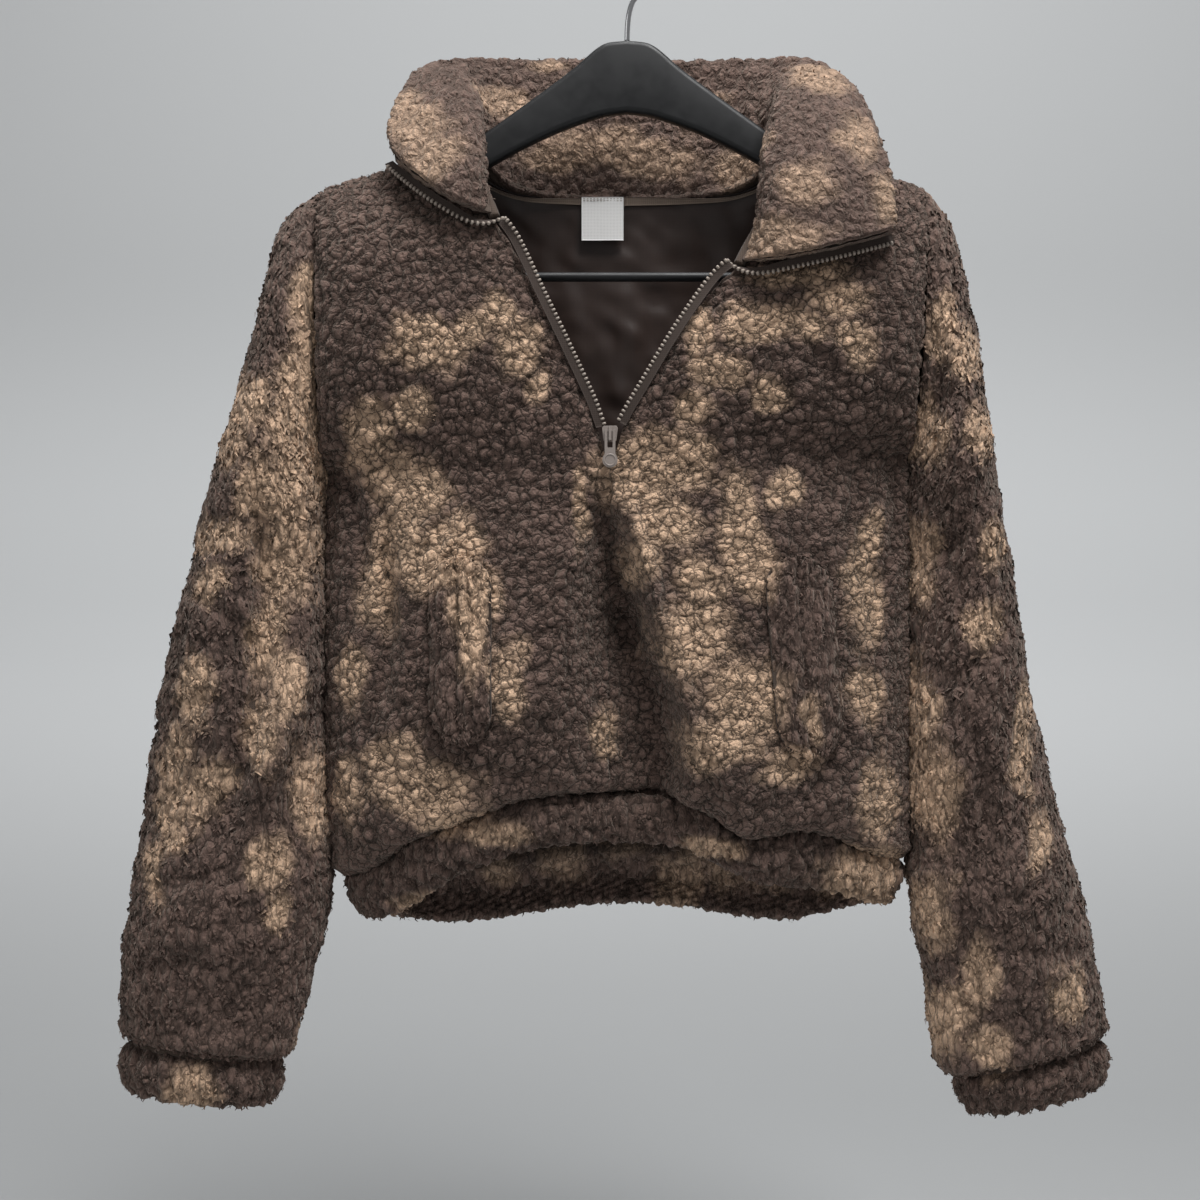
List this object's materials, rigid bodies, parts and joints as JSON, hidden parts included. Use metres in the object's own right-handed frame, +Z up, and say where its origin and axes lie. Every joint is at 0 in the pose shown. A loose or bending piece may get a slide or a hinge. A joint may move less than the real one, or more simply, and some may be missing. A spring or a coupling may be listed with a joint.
{
  "type": "sherpa fleece pullover on a hanger",
  "caption": "Cropped half-zip pullover of high-pile sherpa fleece, blotched taupe and tan, hanging open at the neck on a plastic hanger with a wire hook.",
  "frame": {"origin": "inside top of the hanger's hook, where a rail holds it", "axes": "+Z up, -Y the garment's front, +X the viewer's right when facing the front"},
  "size_m": [0.7258, 0.167, 0.8596],
  "materials": {
    "fleece": "deep curly pile, blotched taupe and tan",
    "satin": "smooth taupe satin",
    "tape": "woven tape",
    "label": "blank woven label",
    "zip": "painted taupe",
    "hanger_plastic": "black, slightly glossy",
    "hook_steel": "bright wire"
  },
  "bodies": {
    "pullover": {"front": "fleece", "back": "fleece", "sleeve_left": "fleece", "sleeve_right": "fleece", "cuff_left": "fleece", "cuff_right": "fleece", "hem_band": "fleece", "collar": "fleece", "lining_back": "satin", "lining_front_left": "satin", "lining_front_right": "satin", "neck_tape": "tape", "label": "label", "pocket_welt_left": "fleece", "pocket_welt_right": "fleece", "zip_tape_left": "tape", "zip_tape_right": "tape", "zip_slider": "zip", "hanger": "hanger_plastic", "hanger_bar": "hanger_plastic", "hanger_hook": "hook_steel"},
    "pull": {"zip_pull": "zip"}
  },
  "joints": [
    {"name": "zip_pull_hinge", "type": "hinge", "parent": "pullover", "child": "pull", "pos_m": [-0.013, -0.0639, -0.3595], "axis": [-1, 0, 0], "range_deg": [0, 130]}
  ]
}
